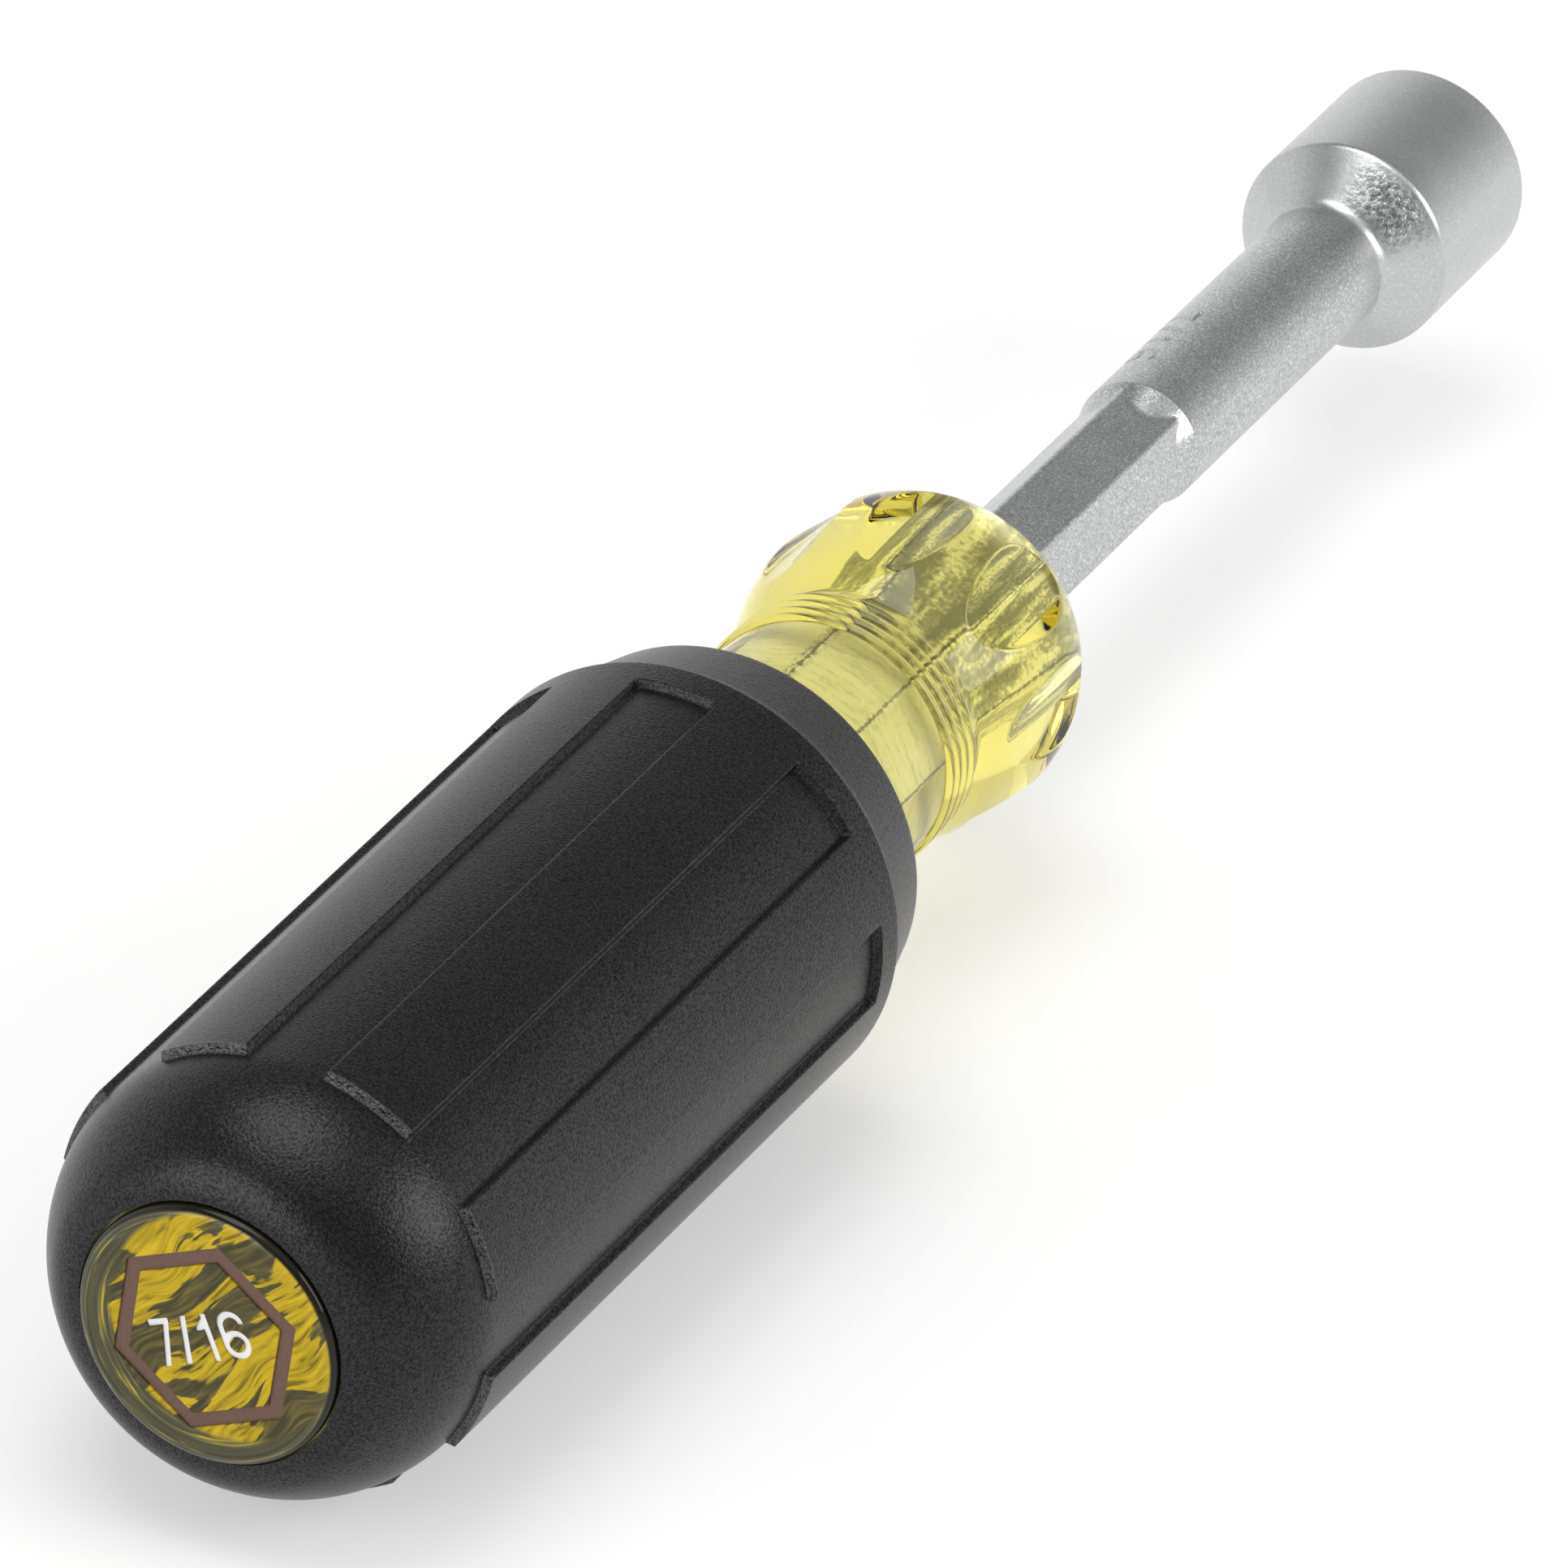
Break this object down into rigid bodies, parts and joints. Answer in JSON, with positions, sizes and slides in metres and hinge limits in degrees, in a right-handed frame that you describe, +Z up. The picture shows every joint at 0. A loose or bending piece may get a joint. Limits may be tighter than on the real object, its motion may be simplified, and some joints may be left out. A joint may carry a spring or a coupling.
{
  "type": "nut driver",
  "caption": "Fixed nut driver: a steel hex-socket shaft moulded into a clear plastic handle with a fluted finger collar and a soft grooved grip sleeve.",
  "frame": {"origin": "under the middle of the tool's length, on the plane that the grip sleeve rests on", "axes": "+X along the tool from the butt to the socket mouth, +Z up"},
  "size_m": [0.1856, 0.0324, 0.0323],
  "materials": {
    "satin_steel": "satin",
    "clear_yellow": "gloss",
    "soft_black": "matte",
    "brown_foil": "matte",
    "white_foil": "matte"
  },
  "bodies": {
    "root": {"socket_shaft": "satin_steel", "handle_core": "clear_yellow", "cushion_grip": "soft_black", "size_hexagon": "brown_foil", "size_number": "white_foil"}
  },
  "joints": []
}
